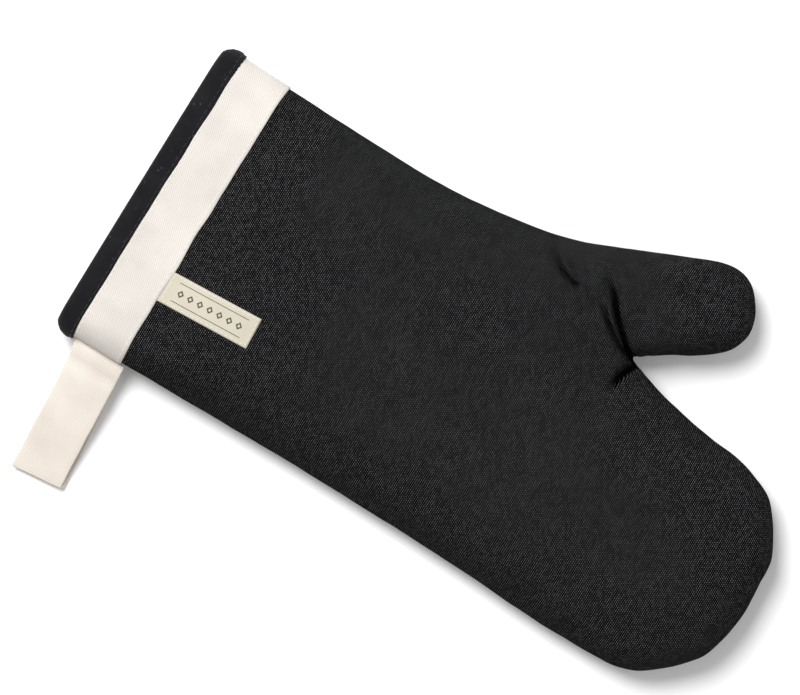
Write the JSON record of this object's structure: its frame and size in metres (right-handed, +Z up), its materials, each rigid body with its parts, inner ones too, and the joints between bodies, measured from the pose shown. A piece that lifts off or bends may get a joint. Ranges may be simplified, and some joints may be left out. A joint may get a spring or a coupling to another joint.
{
  "type": "oven mitt",
  "caption": "Padded oven mitt lying flat, thumb to one side, with a bound cuff, a pale tape band, a small woven label and a hanging loop.",
  "frame": {"origin": "on the surface the mitt lies on, under the middle of its outline seen from above, hanging loop included", "axes": "+X from the cuff's edge to the fingertips, +Y towards the thumb, +Z up through the mitt's thickness, with the label on the upper side"},
  "size_m": [0.3502, 0.2602, 0.0338],
  "materials": {
    "black_cotton_twill": "matt woven cotton twill",
    "cotton_wadding": "fluffy cotton wadding",
    "dark_lining_cotton": "plain woven cotton",
    "ecru_twill_tape": "herringbone twill tape",
    "black_binding": "folded cotton binding",
    "cream_woven_label": "smooth woven label",
    "ecru_thread": "sewing thread",
    "black_thread": "sewing thread"
  },
  "bodies": {
    "hand": {"outer_upper_hand": "black_cotton_twill", "outer_lower_hand": "black_cotton_twill", "wadding_upper_hand": "cotton_wadding", "wadding_lower_hand": "cotton_wadding", "lining_upper_hand": "dark_lining_cotton", "lining_lower_hand": "dark_lining_cotton", "cuff_tape_upper": "ecru_twill_tape", "cuff_tape_lower": "ecru_twill_tape", "cuff_binding": "black_binding", "binding_stitching": "black_thread", "tape_stitching_cuff_side": "ecru_thread", "tape_stitching_hand_side": "ecru_thread", "woven_label": "cream_woven_label", "label_stitching": "ecru_thread"},
    "fingers": {"outer_upper_fingers": "black_cotton_twill", "outer_lower_fingers": "black_cotton_twill", "wadding_upper_fingers": "cotton_wadding", "wadding_lower_fingers": "cotton_wadding", "lining_upper_fingers": "dark_lining_cotton", "lining_lower_fingers": "dark_lining_cotton"},
    "thumb": {"outer_upper_thumb": "black_cotton_twill", "outer_lower_thumb": "black_cotton_twill", "wadding_upper_thumb": "cotton_wadding", "wadding_lower_thumb": "cotton_wadding", "lining_upper_thumb": "dark_lining_cotton", "lining_lower_thumb": "dark_lining_cotton"},
    "loop": {"hanging_loop": "ecru_twill_tape"}
  },
  "joints": [
    {"name": "finger_fold", "type": "hinge", "parent": "hand", "child": "fingers", "pos_m": [0.086, 0, 0.032], "axis": [0, -1, 0], "range_deg": [0, 70], "stiffness_Nm_per_rad": 0.1},
    {"name": "thumb_fold", "type": "hinge", "parent": "hand", "child": "thumb", "pos_m": [0.068, 0.0682, 0.032], "axis": [0.7193, -0.6947, 0], "range_deg": [0, 60], "stiffness_Nm_per_rad": 0.05},
    {"name": "loop_swing", "type": "hinge", "parent": "hand", "child": "loop", "pos_m": [-0.1487, -0.0645, 0.013], "axis": [-1, 0, 0], "range_deg": [0, 90]}
  ]
}
